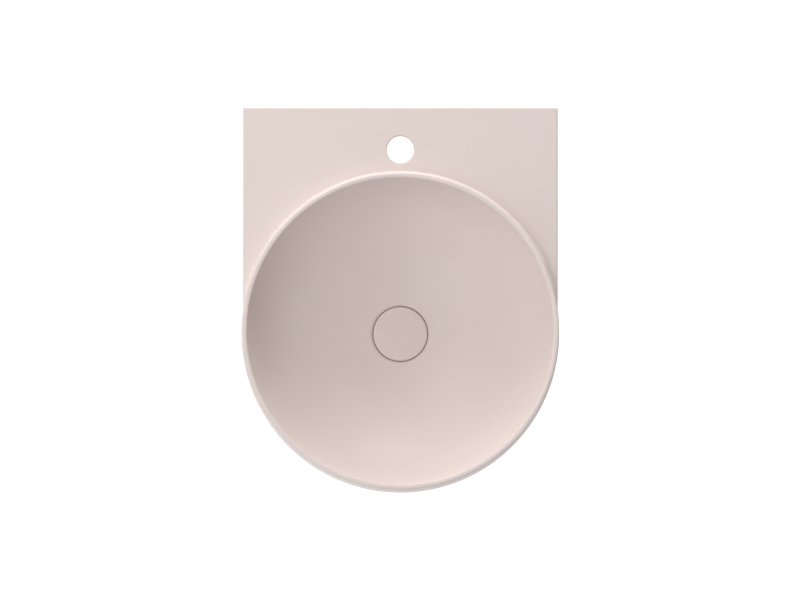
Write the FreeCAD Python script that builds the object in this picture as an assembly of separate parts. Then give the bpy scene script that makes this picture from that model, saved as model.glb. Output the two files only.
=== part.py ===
"""Wall-hung washbasin with a round bowl, a square tap deck and a push-push waste.

Millimetres. +Z is up, +Y points into the wall and -Y towards the user. The origin is the
centre of the two wall-fixing holes, on the wall plane. The bowl, its waste and the plug
share one upright axis, and every round piece is built on the Z axis and then moved there.
"""
import FreeCAD
import Part

import math
import os

from FreeCAD import Vector

# ---- ceramic body -------------------------------------------------------------------
drum_diameter = 415.0
deck_depth = 85.0  # wall to the back of the drum, on the middle line
deck_inset = 2.0  # each side of the deck stands this far inside the drum
rim_above_fixing = 88.0  # top of the rim over the fixing holes
deck_below_rim = 18.0
deck_thickness = 12.0
side_wall = 11.0
back_wall = 12.0
rim_width = 7.0
rim_crown = 0.8  # rise of the rim's middle over its two edges
rim_outer_round = 2.2
rim_inner_round = 2.2
deck_edge_round = 2.0
deck_cove = 3.0  # glaze cove where the drum rises out of the deck
bottom_edge_radius = 36.0
mouth_edge_round = 3.0  # round of the pocket's mouth, under the body

# ---- bowl ---------------------------------------------------------------------------
bowl_wall_radius = 105.0  # section radius of the bowl's side
bowl_floor_radius = 300.0  # section radius of the bowl's floor
bowl_rim_angle = 86.0  # slope of the bowl's side where it meets the rim, degrees
bowl_floor_angle = 6.0  # slope of the floor where it meets the cover's recess, degrees
bowl_skin = 11.0  # ceramic under the bowl, over the hollow

# ---- pocket behind the drum, open below ----------------------------------------------
pocket_back_round = 10.0
pocket_tip_round = 8.0
pocket_ceiling_round = 4.0
pocket_lip = 10.0  # flat lip of the side walls that turn in under the pocket

# ---- tap hole and wall fixings --------------------------------------------------------
tap_hole_diameter = 35.0
tap_hole_to_drum = 12.5  # ceramic between the tap hole and the drum
tap_hole_round = 1.8
fixing_spacing = 280.0
fixing_hole_diameter = 30.0
fixing_pad_diameter = 56.0
fixing_pad_height = 6.0

# ---- nylon bushes for M10 wall studs ---------------------------------------------------
bush_clearance = 0.3
bush_bore = 11.0
bush_wall = 2.4
bush_flange_diameter = 44.0
bush_flange = 4.0
bush_rib_count = 6
bush_rib_width = 2.0

# ---- seat for the waste ------------------------------------------------------------------
cover_gap = 0.8  # between the plug's cover and its recess
recess_depth = 10.0
recess_mouth_round = 5.0
recess_floor_round = 2.0
waste_hole_diameter = 46.0
waste_hole_chamfer = 1.5
waste_seat_thickness = 18.0  # ceramic under the waste's flange
boss_wall = 12.0  # solid ceramic round the recess, inside the hollow

# ---- waste body, G 1 1/4 -------------------------------------------------------------------
flange_diameter = 64.0
flange_thickness = 3.0
flange_clearance = 1.2
flange_edge_round = 1.0
gasket_thickness = 1.2
thread_diameter = 41.91
waste_length = 72.0
waste_bore = 36.5
throat_diameter = 38.0
throat_length = 16.0
funnel_diameter = 50.0
funnel_depth = 2.6
spider_depth = 45.0  # flange top to the top of the spider
spider_height = 5.0
spider_hub_diameter = 17.0
spoke_width = 3.5
spoke_count = 3
relief_depth = 1.4
relief_width = 2.0
tail_thread_length = 26.0
tail_chamfer = 1.5

# ---- seals and back nut under the basin --------------------------------------------------------
seal_clearance = 0.2
cone_seal_diameter = 58.0
cone_seal_height = 7.0
cone_nose_height = 3.0
cone_nose_wall = 1.5
slip_washer_diameter = 59.0
slip_washer_thickness = 2.0
nut_across_flats = 52.0
nut_height = 10.0
nut_chamfer = 2.0

# ---- plug ---------------------------------------------------------------------------------------
cover_diameter = 70.0
cover_edge_height = 6.0
cover_crown = 0.8
cover_proud = 0.5  # cover's edge over the bowl's floor when shut
cover_edge_round = 2.6
cover_pocket_depth = 3.2
cover_pocket_wall = 5.0
pad_thickness = 0.8
carrier_disc = 2.2
carrier_clearance = 0.4
carrier_tube_diameter = 31.0
carrier_tube_wall = 2.5
carrier_collar = 1.4
carrier_hub_diameter = 12.0
carrier_hub_length = 12.0
plug_seal_height = 3.4
plug_seal_squeeze = 0.12  # radial room between the seal and the throat
jam_nut_across_flats = 10.0
jam_nut_height = 2.4

# ---- push-push cartridge ----------------------------------------------------------------------------
lift = 9.0  # plug travel from shut to open
over_travel = 1.5  # further push that frees the latch
housing_diameter = 15.0
housing_bore = 11.2
housing_height = 32.0
housing_lid = 3.0
spindle_diameter = 6.0
running_clearance = 0.1
head_height = 3.0
tooth_height = 1.0
tooth_count = 8
rotor_height = 4.0
rotor_core_diameter = 8.4
rib_count = 4
rib_width = 1.5
latch_turn = 45.0  # turn of the rotor in one full stroke, degrees
guide_pin_diameter = 3.6
guide_pin_length = 10.0
cap_height = 3.0
stud_diameter = 8.0
stud_length = 15.0
stud_nut_across_flats = 13.0
stud_nut_height = 4.0
spring_wire = 0.9
spring_turns = 5
spring_sides = 8  # flats that stand for the round of the spring's wire
wiper_height = 1.2

# ---- worked out from the sizes above --------------------------------------------------------------------
drum_radius = drum_diameter / 2
axis_y = -(drum_radius + deck_depth)
deck_half_width = drum_radius - deck_inset
rim_z = rim_above_fixing
deck_z = rim_z - deck_below_rim
rim_inner_radius = drum_radius - rim_width
rim_edge_z = rim_z - rim_crown
recess_radius = cover_diameter / 2 + cover_gap
hole_radius = waste_hole_diameter / 2

pad_face = back_wall + fixing_pad_height
tap_hole_from_wall = deck_depth - tap_hole_to_drum - tap_hole_diameter / 2

rim_slope = math.radians(bowl_rim_angle)
floor_slope = math.radians(bowl_floor_angle)
meet_sine = (
    rim_inner_radius
    - recess_radius
    - bowl_wall_radius * math.sin(rim_slope)
    + bowl_floor_radius * math.sin(floor_slope)
) / (bowl_floor_radius - bowl_wall_radius)
meet_slope = math.asin(meet_sine)  # slope where the bowl's side turns into its floor
side_centre = (
    rim_inner_radius - bowl_wall_radius * math.sin(rim_slope),
    rim_z + bowl_wall_radius * math.cos(rim_slope),
)
floor_centre = (
    side_centre[0] + (bowl_wall_radius - bowl_floor_radius) * math.sin(meet_slope),
    side_centre[1] - (bowl_wall_radius - bowl_floor_radius) * math.cos(meet_slope),
)
floor_edge_z = floor_centre[1] - bowl_floor_radius * math.cos(floor_slope)

recess_floor_z = floor_edge_z - recess_depth
flange_top_z = recess_floor_z
seat_z = flange_top_z - flange_thickness - gasket_thickness
underside_z = seat_z - waste_seat_thickness
flange_recess_radius = flange_diameter / 2 + flange_clearance

thread_radius = thread_diameter / 2
waste_end_z = flange_top_z - waste_length
spider_z = flange_top_z - spider_depth
washer_z = underside_z - cone_seal_height
nut_z = washer_z - slip_washer_thickness

cover_edge_z = floor_edge_z + cover_proud
cover_bottom_z = cover_edge_z - cover_edge_height
pocket_top_z = cover_bottom_z + cover_pocket_depth
carrier_top_z = pocket_top_z - pad_thickness
carrier_disc_radius = cover_diameter / 2 - cover_pocket_wall - carrier_clearance
throat_radius = throat_diameter / 2
plug_seal_radius = throat_radius - plug_seal_squeeze
seal_top_z = flange_top_z - funnel_depth - over_travel
seal_bottom_z = seal_top_z - plug_seal_height
tube_radius = carrier_tube_diameter / 2
tube_end_z = seal_bottom_z - carrier_collar
hub_end_z = carrier_top_z - carrier_disc - carrier_hub_length

housing_top_z = spider_z + housing_height
housing_ceiling_z = housing_top_z - housing_lid
head_top_z = housing_ceiling_z - lift - running_clearance
head_bottom_z = head_top_z - head_height
rotor_top_z = head_bottom_z - 2 * tooth_height - running_clearance
rotor_bottom_z = rotor_top_z - rotor_height
cap_top_z = spider_z + cap_height
bore_radius = housing_bore / 2
core_radius = rotor_core_diameter / 2
slide_radius = bore_radius - running_clearance
rise_per_degree = (lift + over_travel) / latch_turn


# ---- tools for round pieces ----------------------------------------------------------------------
def ring_point(radius, height):
    """A point of a section, in the plane that is turned about the Z axis."""
    return Vector(radius, 0, height)


def turned(corners):
    """Solid of revolution about Z from a closed section of straight sides."""
    points = [ring_point(*corner) for corner in corners]
    wire = Part.makePolygon(points + [points[0]])
    return Part.Face(wire).revolve(Vector(), Vector(0, 0, 1), 360)


def tube(outer, inner, bottom, top):
    """Plain ring between two radii and two heights."""
    return turned([(inner, bottom), (outer, bottom), (outer, top), (inner, top)])


def disc(radius, bottom, top):
    """Plain cylinder on the Z axis."""
    return Part.makeCylinder(radius, top - bottom, Vector(0, 0, bottom))


def arc_edge(centre, radius, start, end):
    """Arc of a section. Slopes are measured from straight down, in radians."""

    def at(slope):
        return ring_point(
            centre[0] + radius * math.sin(slope), centre[1] - radius * math.cos(slope)
        )

    return Part.Arc(at(start), at((start + end) / 2), at(end)).toShape()


def straight_sides(points):
    """Straight edges through a row of points."""
    return [Part.LineSegment(a, b).toShape() for a, b in zip(points, points[1:])]


def round_edges(solid, rounding, chosen):
    """Rounds every edge whose bounding box the test chosen accepts."""
    edges = [edge for edge in solid.Edges if chosen(edge.BoundBox)]
    return solid.makeFillet(rounding, edges)


def round_rings(solid, rings):
    """Rounds circular edges about Z, each given as (edge radius, height, rounding)."""
    for radius, height, rounding in rings:
        solid = round_edges(
            solid,
            rounding,
            lambda box, r=radius, z=height: abs(box.XLength - 2 * r) < 0.01
            and abs(box.YLength - 2 * r) < 0.01
            and abs(box.ZMin - z) < 0.01
            and box.ZLength < 0.01,
        )
    return solid


def around(shape, count):
    """Copies of a shape, evenly turned about the Z axis, as a list."""
    copies = []
    for number in range(count):
        copy = shape.copy()
        copy.rotate(Vector(), Vector(0, 0, 1), 360.0 * number / count)
        copies.append(copy)
    return copies


def hexagon(across_flats, bottom, height, bore_radius_of_nut, chamfer):
    """Hexagon nut with both faces turned off to a chamfer."""
    corner = across_flats / math.sqrt(3)
    points = [
        Vector(corner * math.cos(a), corner * math.sin(a), bottom)
        for a in (math.radians(60 * number) for number in range(7))
    ]
    blank = Part.Face(Part.makePolygon(points)).extrude(Vector(0, 0, height))
    turned_off = turned(
        [
            (bore_radius_of_nut, bottom),
            (corner - chamfer, bottom),
            (corner, bottom + chamfer * math.tan(math.radians(30))),
            (corner, bottom + height - chamfer * math.tan(math.radians(30))),
            (corner - chamfer, bottom + height),
            (bore_radius_of_nut, bottom + height),
        ]
    )
    return blank.common(turned_off)


# ---- ceramic body ------------------------------------------------------------------------------------------
def bowl_section(skin, inner_radius):
    """Edges of the bowl's section, or of its offset by skin, from side to floor."""
    side_radius = bowl_wall_radius + skin
    floor_radius = bowl_floor_radius + skin
    end = math.asin((inner_radius - floor_centre[0]) / floor_radius)
    if skin:
        hollow_radius = drum_radius - side_wall
        start = math.asin((hollow_radius - side_centre[0]) / side_radius)
    else:
        start = rim_slope
    return [
        arc_edge(side_centre, side_radius, start, meet_slope),
        arc_edge(floor_centre, floor_radius, meet_slope, end),
    ]


def closed_by(edges, corners):
    """Solid of revolution from curved edges closed by straight sides through corners."""
    first = edges[0].Vertexes[0].Point
    last = edges[-1].Vertexes[-1].Point
    points = [last] + [ring_point(*corner) for corner in corners] + [first]
    wire = Part.Wire(edges + straight_sides(points))
    return Part.Face(wire).revolve(Vector(), Vector(0, 0, 1), 360)


def drum_blank():
    """Solid drum with the rim's shallow crown."""
    half = rim_width / 2
    crown_radius = (half**2 + rim_crown**2) / (2 * rim_crown)
    outer = math.asin(half / crown_radius)
    inner = math.asin((half + rim_crown) / crown_radius)
    crown = arc_edge(
        (drum_radius - half, rim_z - crown_radius),
        crown_radius,
        math.pi - outer,
        math.pi + inner,
    )
    low = rim_z - crown_radius * (1 - math.cos(inner))
    drum = closed_by([crown], [(0, low), (0, underside_z), (drum_radius, underside_z)])
    return round_rings(
        drum,
        [
            (drum_radius, underside_z, bottom_edge_radius),
            (drum_radius, rim_edge_z, rim_outer_round),
        ],
    )


def bowl_cutter():
    """The bowl's space, with the recess of the cover and the seat and hole of the waste."""
    above = rim_z + rim_width
    below = underside_z - rim_width
    return closed_by(
        bowl_section(0, recess_radius),
        [
            (recess_radius, recess_floor_z),
            (flange_recess_radius, recess_floor_z),
            (flange_recess_radius, seat_z),
            (hole_radius, seat_z),
            (hole_radius, underside_z + waste_hole_chamfer),
            (hole_radius + waste_hole_chamfer + rim_width, below),
            (0, below),
            (0, above),
            (rim_inner_radius, above),
        ],
    )


def hollow():
    """Closed hollow of the casting, between the bowl and the drum's wall."""
    boss_radius = recess_radius + boss_wall
    floor = underside_z + side_wall
    hollow_radius = drum_radius - side_wall
    space = closed_by(
        bowl_section(bowl_skin, boss_radius),
        [(boss_radius, floor), (hollow_radius, floor)],
    )
    return round_rings(space, [(hollow_radius, floor, bottom_edge_radius - side_wall)])


def rear_block():
    """Square rear part under the tap deck, before anything is cut out of it."""
    block = Part.makeBox(
        2 * deck_half_width,
        -axis_y,
        deck_z - underside_z,
        Vector(-deck_half_width, axis_y, underside_z),
    )
    block = round_edges(
        block,
        bottom_edge_radius,
        lambda box: box.ZMax < underside_z + 0.1 and box.XLength < 0.1,
    )
    block = round_edges(
        block,
        deck_edge_round,
        lambda box: box.YMin > -0.1 and box.ZMin < deck_z - 0.1,
    )
    return round_edges(
        block,
        deck_edge_round,
        lambda box: box.ZMin > deck_z - 0.1 and box.YMax > axis_y + 0.1,
    )


def pocket():
    """Space behind the drum for the tap's fixing and the wall nuts, open below."""
    half = deck_half_width - side_wall
    tip_y = math.sqrt(drum_radius**2 - half**2)
    back_y = -axis_y - back_wall
    below = underside_z - rim_width
    ceiling = deck_z - deck_thickness
    drum_arc = Part.Arc(
        Vector(-half, tip_y, below),
        Vector(0, drum_radius, below),
        Vector(half, tip_y, below),
    ).toShape()
    plan = [drum_arc] + straight_sides(
        [
            Vector(half, tip_y, below),
            Vector(half, back_y, below),
            Vector(-half, back_y, below),
            Vector(-half, tip_y, below),
        ]
    )
    space = Part.Face(Part.Wire(plan)).extrude(Vector(0, 0, ceiling - below))
    for rounding, corner_y in ((pocket_back_round, back_y), (pocket_tip_round, tip_y)):
        space = round_edges(
            space,
            rounding,
            lambda box, y=corner_y: box.ZLength > 1
            and box.YLength < 0.1
            and abs(box.YMin - y) < 0.1,
        )
    space = round_edges(
        space, pocket_ceiling_round, lambda box: box.ZMin > ceiling - 0.1
    )
    return space.common(pocket_section(half, below, ceiling + rim_width))


def pocket_section(half, below, above):
    """Front view of the pocket: its side walls turn in under it to a flat lip."""
    turn = bottom_edge_radius - side_wall
    floor = underside_z + side_wall
    centre_x = half - turn
    lip_x = centre_x - pocket_lip
    edges = []
    for side in (-1, 1):
        corner = turn * math.sqrt(0.5)
        arc = Part.Arc(
            Vector(side * half, 0, floor + turn),
            Vector(side * (centre_x + corner), 0, floor + turn - corner),
            Vector(side * centre_x, 0, floor),
        ).toShape()
        foot = [
            Vector(side * centre_x, 0, floor),
            Vector(side * lip_x, 0, floor),
            Vector(side * lip_x, 0, below),
        ]
        top = [Vector(side * half, 0, floor + turn), Vector(side * half, 0, above)]
        edges += [arc] + straight_sides(foot) + straight_sides(top)
    for x, height in ((lip_x, below), (half, above)):
        edges += straight_sides([Vector(-x, 0, height), Vector(x, 0, height)])
    outline = Part.Wire(Part.__sortEdges__(edges))
    return Part.Face(outline).extrude(Vector(0, -axis_y, 0))


def round_pocket_mouth(body):
    """Rounds the edges of the pocket's opening in the flat underside."""
    half = deck_half_width - bottom_edge_radius - pocket_lip + 0.1
    back = -axis_y - back_wall + 0.1
    return round_edges(
        body,
        mouth_edge_round,
        lambda box: box.ZMax < underside_z + 0.1
        and box.XMin > -half
        and box.XMax < half
        and box.YMin > math.sqrt(drum_radius**2 - half**2) - 0.1
        and box.YMax < back,
    )


def deck_cove_ring():
    """Small cove between the deck and the drum that rises out of it."""
    reach = drum_radius + deck_cove
    foot = drum_radius - rim_width / 2
    middle = deck_cove * (1 - math.sqrt(0.5))
    cove = Part.Arc(
        ring_point(reach, deck_z),
        ring_point(drum_radius + middle, deck_z + middle),
        ring_point(drum_radius, deck_z + deck_cove),
    ).toShape()
    corners = [(foot, deck_z + deck_cove), (foot, deck_z - deck_cove)]
    ring = closed_by([cove], corners + [(reach, deck_z - deck_cove)])
    half = deck_half_width - deck_edge_round
    deck_column = Part.makeBox(
        2 * half, 2 * drum_radius, 4 * deck_cove, Vector(-half, 0, deck_z - 2 * deck_cove)
    )
    return ring.common(deck_column)


def wall_axis_cylinder(radius, x, start_y, end_y):
    """Cylinder along Y at a fixing hole, in the body's own frame."""
    return Part.makeCylinder(
        radius, end_y - start_y, Vector(x, start_y, 0), Vector(0, 1, 0)
    )


def basin_body():
    """The whole ceramic: drum, rim, bowl, deck, pocket, tap hole and fixing holes."""
    rear = rear_block()
    rear.translate(Vector(0, -axis_y, 0))
    body = drum_blank().fuse(rear).fuse(deck_cove_ring())
    body = round_pocket_mouth(body.cut(pocket()))
    body = body.cut(bowl_cutter()).cut(hollow())
    body = round_edges(
        body,
        rim_inner_round,
        lambda box: box.ZMin > rim_edge_z - rim_crown
        and abs(box.XLength - 2 * rim_inner_radius) < rim_crown,
    )
    body = round_rings(
        body,
        [
            (recess_radius, floor_edge_z, recess_mouth_round),
            (recess_radius, recess_floor_z, recess_floor_round),
        ],
    )
    wall_y = -axis_y
    inner_y = wall_y - back_wall
    for side in (-1, 1):
        x = side * fixing_spacing / 2
        pad = wall_axis_cylinder(
            fixing_pad_diameter / 2, x, inner_y - fixing_pad_height, inner_y
        )
        hole = wall_axis_cylinder(
            fixing_hole_diameter / 2, x, inner_y - 2 * fixing_pad_height, wall_y + 1
        )
        body = body.fuse(pad).cut(hole)
    tap_y = wall_y - tap_hole_from_wall
    tap_hole = Part.makeCylinder(
        tap_hole_diameter / 2,
        2 * deck_thickness,
        Vector(0, tap_y, deck_z - 1.5 * deck_thickness),
    )
    body = body.cut(tap_hole).removeSplitter()
    body = round_edges(
        body,
        tap_hole_round,
        lambda box: box.ZMin > deck_z - 0.1
        and abs(box.Center.y - tap_y) < 0.1
        and abs(box.XLength - tap_hole_diameter) < 0.1,
    )
    return body


def at_fixings(shape):
    """Lays a piece built on Z along the wall's normal, once at each fixing hole."""
    shape.rotate(Vector(), Vector(1, 0, 0), 90)
    pair = []
    for side in (-1, 1):
        copy = shape.copy()
        copy.translate(Vector(side * fixing_spacing / 2, -axis_y, 0))
        pair.append(copy)
    return Part.makeCompound(pair)


def fixing_bushes():
    """Flanged nylon bushes that centre the wall studs in the ceramic's holes."""
    sleeve_radius = fixing_hole_diameter / 2 - bush_clearance
    core_radius_of_bush = bush_bore / 2 + bush_wall
    flange = tube(bush_flange_diameter / 2, bush_bore / 2, pad_face, pad_face + bush_flange)
    outer = tube(sleeve_radius, sleeve_radius - bush_wall, 0, pad_face)
    core = tube(core_radius_of_bush, bush_bore / 2, 0, pad_face)
    rib_start = core_radius_of_bush - bush_wall / 4
    web = Part.makeBox(
        sleeve_radius - bush_wall / 2 - rib_start,
        bush_rib_width,
        pad_face,
        Vector(rib_start, -bush_rib_width / 2, 0),
    )
    bush = flange.fuse([outer, core] + around(web, bush_rib_count)).removeSplitter()
    return at_fixings(bush)


# ---- waste ----------------------------------------------------------------------------------------
def waste_body():
    """Flange, throat, spider and threaded tail in one turned brass piece."""
    flange_radius = flange_diameter / 2
    bore = waste_bore / 2
    flange_bottom = flange_top_z - flange_thickness
    throat_end = flange_top_z - throat_length
    relief_top = waste_end_z + tail_thread_length + relief_width
    relief_bottom = waste_end_z + tail_thread_length
    relief_radius = thread_radius - relief_depth
    shell = turned(
        [
            (funnel_diameter / 2, flange_top_z),
            (flange_radius, flange_top_z),
            (flange_radius, flange_bottom),
            (thread_radius, flange_bottom),
            (thread_radius, relief_top),
            (relief_radius, relief_top),
            (relief_radius, relief_bottom),
            (thread_radius, relief_bottom),
            (thread_radius, waste_end_z + tail_chamfer),
            (thread_radius - tail_chamfer, waste_end_z),
            (bore, waste_end_z),
            (bore, throat_end - (throat_radius - bore)),
            (throat_radius, throat_end),
            (throat_radius, flange_top_z - funnel_depth),
        ]
    )
    shell = round_rings(shell, [(flange_radius, flange_top_z, flange_edge_round)])
    hub = disc(spider_hub_diameter / 2, spider_z - spider_height, spider_z)
    spoke = Part.makeBox(
        (bore + thread_radius) / 2,
        spoke_width,
        spider_height,
        Vector(0, -spoke_width / 2, spider_z - spider_height),
    )
    stud_hole = disc(
        stud_diameter / 2 + running_clearance, spider_z - 2 * spider_height, spider_z + 1
    )
    body = shell.fuse([hub] + around(spoke, spoke_count))
    return body.cut(stud_hole).removeSplitter()


def flange_gasket():
    """Flat gasket between the flange and the ceramic."""
    return tube(
        flange_diameter / 2, thread_radius + seal_clearance, seat_z, seat_z + gasket_thickness
    )


def cone_seal():
    """Rubber seal under the ceramic, with a nose that centres it in the waste hole."""
    inner = thread_radius + seal_clearance
    nose_radius = hole_radius - seal_clearance
    outer = cone_seal_diameter / 2
    return turned(
        [
            (inner, washer_z),
            (outer - cone_nose_wall, washer_z),
            (outer, washer_z + cone_nose_wall),
            (outer, underside_z - cone_nose_wall),
            (outer - cone_nose_wall, underside_z),
            (nose_radius + waste_hole_chamfer, underside_z),
            (nose_radius, underside_z + waste_hole_chamfer),
            (inner + cone_nose_wall / 2, underside_z + cone_nose_height),
            (inner, underside_z + cone_nose_height),
        ]
    )


def slip_washer():
    """Thin plastic washer that lets the nut turn without dragging the seal."""
    return tube(
        slip_washer_diameter / 2, thread_radius + seal_clearance, nut_z, washer_z
    )


def back_nut():
    """Hexagon nut that clamps the waste to the basin."""
    return hexagon(
        nut_across_flats,
        nut_z - nut_height,
        nut_height,
        thread_radius + running_clearance / 2,
        nut_chamfer,
    )


# ---- plug -----------------------------------------------------------------------------------------
def plug_cover():
    """Glazed ceramic cover with a crowned top and a pocket for its carrier."""
    radius = cover_diameter / 2
    pocket_radius = radius - cover_pocket_wall
    crown_radius = (radius**2 + cover_crown**2) / (2 * cover_crown)
    crown_centre = (0, cover_edge_z + cover_crown - crown_radius)
    half = math.asin(radius / crown_radius)
    crown = arc_edge(crown_centre, crown_radius, math.pi, math.pi - half)
    blank = closed_by([crown], [(radius, cover_bottom_z), (0, cover_bottom_z)])
    blank = round_rings(
        blank,
        [
            (radius, cover_edge_z, cover_edge_round),
            (radius, cover_bottom_z, cover_edge_round / 2),
        ],
    )
    return blank.cut(disc(pocket_radius, cover_bottom_z - 1, pocket_top_z))


def cover_pad():
    """Bonding pad between the cover and its carrier."""
    return disc(carrier_disc_radius, carrier_top_z, pocket_top_z)


def plug_carrier():
    """Carrier disc with the tube that holds the seal and the hub for the spindle."""
    bottom = carrier_top_z - carrier_disc
    bore = spindle_diameter / 2 + running_clearance / 2
    collar_radius = plug_seal_radius - carrier_collar
    spindle_top = bottom - carrier_hub_length / 2
    plate = disc(carrier_disc_radius, bottom, carrier_top_z)
    sleeve = tube(tube_radius, tube_radius - carrier_tube_wall, tube_end_z, bottom)
    upper = tube(collar_radius, tube_radius - 1, seal_top_z, seal_top_z + carrier_collar)
    lower = tube(collar_radius, tube_radius - 1, tube_end_z, seal_bottom_z)
    hub = disc(carrier_hub_diameter / 2, hub_end_z, bottom)
    web = Part.makeBox(
        tube_radius - carrier_tube_wall / 2,
        carrier_collar,
        bottom - spindle_top,
        Vector(0, -carrier_collar / 2, spindle_top),
    )
    carrier = plate.fuse([sleeve, upper, lower, hub] + around(web, spoke_count))
    return carrier.cut(disc(bore, hub_end_z - 1, bottom)).removeSplitter()


def plug_seal():
    """Lip ring that closes the throat."""
    inner = tube_radius + running_clearance / 2
    lip = (plug_seal_radius - inner) / 3
    middle = (seal_top_z + seal_bottom_z) / 2
    gap = running_clearance / 2
    return turned(
        [
            (inner, seal_bottom_z + gap),
            (plug_seal_radius - lip, seal_bottom_z + gap),
            (plug_seal_radius, middle - lip / 2),
            (plug_seal_radius, middle + lip / 2),
            (plug_seal_radius - lip, seal_top_z - gap),
            (inner, seal_top_z - gap),
        ]
    )


def jam_nut():
    """Thin nut that locks the spindle in the carrier's hub."""
    return hexagon(
        jam_nut_across_flats,
        hub_end_z - jam_nut_height,
        jam_nut_height,
        spindle_diameter / 2 + running_clearance / 2,
        jam_nut_height / 4,
    )


# ---- push-push cartridge ---------------------------------------------------------------------------
def crown_teeth(base, tip):
    """Ring of saw teeth between two heights, on the rotor's or the spindle's face."""
    pitch = 2 * math.pi / tooth_count
    root = base - (tip - base) * 0.2
    inner = (guide_pin_diameter / 2 + running_clearance) / math.cos(pitch / 2)
    radii = (inner, core_radius - running_clearance)
    sections = []
    for radius in radii:
        corners = [
            Vector(radius, 0, tip),
            Vector(radius, 0, root),
            Vector(radius * math.cos(pitch), radius * math.sin(pitch), root),
        ]
        sections.append(Part.makePolygon(corners + [corners[0]]))
    return around(Part.makeLoft(sections, True, True), tooth_count)


def rib(inner, outer, corners):
    """Radial rib whose side view is given by (across, height) corners."""
    points = [Vector(inner, across, height) for across, height in corners]
    face = Part.Face(Part.makePolygon(points + [points[0]]))
    return face.extrude(Vector(outer - inner, 0, 0))


def cartridge_housing():
    """Housing with the catch ribs that hold the rotor down or let it rise."""
    outer = housing_diameter / 2
    spindle_hole = spindle_diameter / 2 + running_clearance
    wiper_radius = spindle_hole + wiper_height
    wiper_top = housing_ceiling_z + (housing_lid + wiper_height) / 2
    shell = turned(
        [
            (bore_radius, spider_z),
            (outer, spider_z),
            (outer, housing_top_z - 1),
            (outer - 1, housing_top_z),
            (spindle_hole, housing_top_z),
            (spindle_hole, wiper_top),
            (wiper_radius, wiper_top),
            (wiper_radius, wiper_top - wiper_height),
            (spindle_hole, wiper_top - wiper_height),
            (spindle_hole, housing_ceiling_z),
            (bore_radius, housing_ceiling_z),
        ]
    )
    half = rib_width / 2
    across_degrees = math.degrees(rib_width / bore_radius)
    ledge = rotor_top_z + running_clearance
    slope = 2 * across_degrees * rise_per_degree
    catch = rib(
        core_radius + running_clearance,
        bore_radius + running_clearance,
        [
            (-half, ledge),
            (half, ledge + slope),
            (half, housing_ceiling_z + running_clearance),
            (-half, housing_ceiling_z + running_clearance),
        ],
    )
    return shell.fuse(around(catch, rib_count)).removeSplitter()


def spindle_wiper():
    """Small ring in the housing's lid that keeps grit off the spindle."""
    spindle_hole = spindle_diameter / 2 + running_clearance / 2
    wiper_top = housing_ceiling_z + (housing_lid + wiper_height) / 2
    outer = spindle_diameter / 2 + running_clearance + wiper_height
    gap = running_clearance / 2
    return tube(outer - gap, spindle_hole, wiper_top - wiper_height + gap, wiper_top - gap)


def spindle():
    """Spindle with its toothed, slotted head and the pin that guides the rotor."""
    top = carrier_top_z - carrier_disc - running_clearance
    rod = disc(spindle_diameter / 2, head_top_z, top)
    head = disc(slide_radius, head_bottom_z, head_top_z)
    notch = rib(
        core_radius,
        bore_radius + 1,
        [
            (-rib_width, head_bottom_z - 1),
            (rib_width, head_bottom_z - 1),
            (rib_width, head_top_z + 1),
            (-rib_width, head_top_z + 1),
        ],
    )
    head = head.cut(around(notch, rib_count))
    pin = disc(guide_pin_diameter / 2, head_bottom_z - guide_pin_length, head_bottom_z)
    teeth = crown_teeth(head_bottom_z, head_bottom_z - tooth_height)
    return rod.fuse([head, pin] + teeth).removeSplitter()


def latch_rotor():
    """Ratchet ring that turns one eighth of a turn at each stroke."""
    bore = guide_pin_diameter / 2 + running_clearance / 2
    core = tube(core_radius, bore, rotor_bottom_z, rotor_top_z)
    half = rib_width / 2
    catch = rib(
        core_radius - 0.5,
        slide_radius - running_clearance,
        [
            (-half, rotor_bottom_z),
            (half, rotor_bottom_z),
            (half, rotor_top_z),
            (-half, rotor_top_z),
        ],
    )
    teeth = crown_teeth(rotor_top_z, rotor_top_z + tooth_height)
    return core.fuse(around(catch, rib_count) + teeth).removeSplitter()


def return_spring():
    """Compression spring from the cap up to the rotor, shut length."""
    radius = core_radius - spring_wire / 2
    low = cap_top_z + spring_wire / 2
    high = rotor_bottom_z - running_clearance - spring_wire / 2
    pitch = (high - low) / spring_turns
    path = Part.makeHelix(pitch, high - low, radius)
    path.translate(Vector(0, 0, low))
    corners = []
    for number in range(spring_sides + 1):
        angle = 2 * math.pi * (number + 0.5) / spring_sides
        across = spring_wire / 2 * math.cos(angle)
        corners.append(ring_point(radius + across, low + spring_wire / 2 * math.sin(angle)))
    return Part.Wire(path).makePipeShell([Part.makePolygon(corners)], True, True)


def cartridge_cap():
    """Cap that closes the housing and carries the stud through the spider."""
    radius = bore_radius - running_clearance / 2
    plate = disc(radius, spider_z, cap_top_z)
    stud = disc(stud_diameter / 2, spider_z - stud_length, spider_z)
    return plate.fuse(stud).removeSplitter()


def stud_nut():
    """Nut under the spider that holds the cartridge."""
    return hexagon(
        stud_nut_across_flats,
        spider_z - spider_height - stud_nut_height,
        stud_nut_height,
        stud_diameter / 2 + running_clearance / 2,
        stud_nut_height / 5,
    )


PIECES = {
    "basin_body": basin_body,
    "fixing_bushes": fixing_bushes,
    "waste_body": waste_body,
    "flange_gasket": flange_gasket,
    "cone_seal": cone_seal,
    "slip_washer": slip_washer,
    "back_nut": back_nut,
    "plug_cover": plug_cover,
    "cover_pad": cover_pad,
    "plug_carrier": plug_carrier,
    "plug_seal": plug_seal,
    "jam_nut": jam_nut,
    "spindle": spindle,
    "spindle_wiper": spindle_wiper,
    "cartridge_housing": cartridge_housing,
    "latch_rotor": latch_rotor,
    "return_spring": return_spring,
    "cartridge_cap": cartridge_cap,
    "stud_nut": stud_nut,
}


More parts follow.
